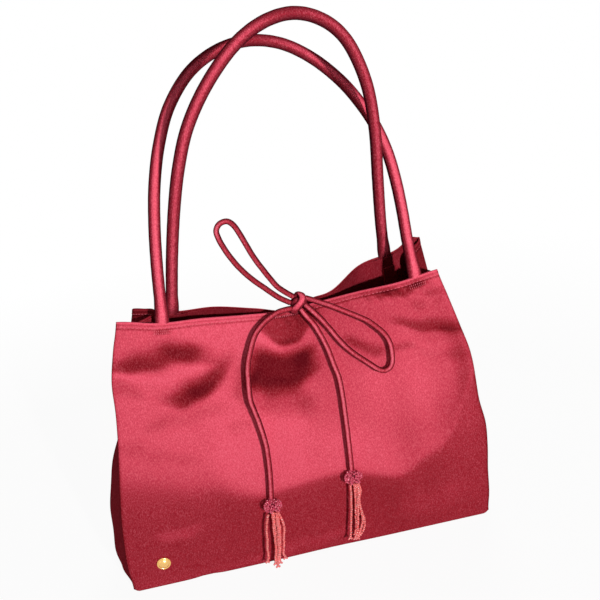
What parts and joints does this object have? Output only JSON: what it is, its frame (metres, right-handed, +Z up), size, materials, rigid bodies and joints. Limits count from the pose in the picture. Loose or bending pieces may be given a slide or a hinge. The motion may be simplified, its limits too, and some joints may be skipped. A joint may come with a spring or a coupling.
{
  "type": "handbag",
  "caption": "Soft satin handbag with two tubular handles, a flat base and side gussets; a corded bow with bead tassels ties its mouth.",
  "frame": {"origin": "middle of the flat bottom of the base, where the bag stands", "axes": "+Z up, +X to the viewer's right as seen from the front, +Y to the back of the bag"},
  "size_m": [0.3758, 0.1157, 0.5017],
  "materials": {
    "satin": "red satin with a fine woven grain and a soft sheen",
    "satin_inside": "the same satin in shade, turned to the inside",
    "lining": "dark matt lining",
    "cord": "satin piping sewn round a soft cord",
    "board": "stiff grey board",
    "filler": "pale rope filling",
    "bead_dark": "dark red glass-like seed beads",
    "bead_coral": "coral seed beads, slightly clear",
    "gilt": "polished gilt metal"
  },
  "bodies": {
    "bag": {"base_panel": "satin", "base_board": "board", "lining_base": "lining", "front_panel": "satin", "back_panel": "satin", "facing_front": "satin_inside", "lining_front": "lining", "facing_back": "satin_inside", "lining_back": "lining", "gusset_left": "satin", "facing_left": "satin_inside", "lining_left": "lining", "gusset_right": "satin", "facing_right": "satin_inside", "lining_right": "lining", "stud": "gilt", "stud_washer": "gilt", "handle_front_end_left": "satin", "handle_front_end_right": "satin", "handle_back_end_left": "satin", "handle_back_end_right": "satin", "tie_knot": "cord", "tie_stem_front": "cord", "tie_stem_back": "cord", "tie_loop_left": "cord", "tie_loop_right": "cord", "tie_tail_left": "cord", "tie_tail_right": "cord", "inner_tab": "satin"},
    "handle_front": {"handle_front_cover": "satin", "handle_front_core": "filler"},
    "handle_back": {"handle_back_cover": "satin", "handle_back_core": "filler"},
    "tassel_left_head": {"tassel_left_head": "bead_dark"},
    "tassel_left_strands": {"tassel_left_strands": "bead_coral"},
    "tassel_right_head": {"tassel_right_head": "bead_dark"},
    "tassel_right_strands": {"tassel_right_strands": "bead_coral"}
  },
  "joints": [
    {"name": "handle_front_swing", "type": "hinge", "parent": "bag", "child": "handle_front", "pos_m": [-0.10404, -0.03154, 0.26118], "axis": [1, -0.003, -0.0022], "range_deg": [-25, 3]},
    {"name": "handle_back_swing", "type": "hinge", "parent": "bag", "child": "handle_back", "pos_m": [-0.09354, -0.00325, 0.25743], "axis": [0.9931, 0.1107, 0.0387], "range_deg": [-3, 30]},
    {"name": "tassel_left_sway", "type": "hinge", "parent": "bag", "child": "tassel_left_head", "pos_m": [-0.0365, -0.0575, 0.0682], "axis": [0, 1, 0], "range_deg": [-30, 30]},
    {"name": "tassel_left_lift", "type": "hinge", "parent": "tassel_left_head", "child": "tassel_left_strands", "pos_m": [-0.0365, -0.0575, 0.0599], "axis": [-1, 0, 0], "range_deg": [-4, 60]},
    {"name": "tassel_right_sway", "type": "hinge", "parent": "bag", "child": "tassel_right_head", "pos_m": [0.0407, -0.057, 0.0797], "axis": [0, 1, 0], "range_deg": [-30, 30]},
    {"name": "tassel_right_lift", "type": "hinge", "parent": "tassel_right_head", "child": "tassel_right_strands", "pos_m": [0.0407, -0.057, 0.0714], "axis": [-1, 0, 0], "range_deg": [-4, 60]}
  ]
}
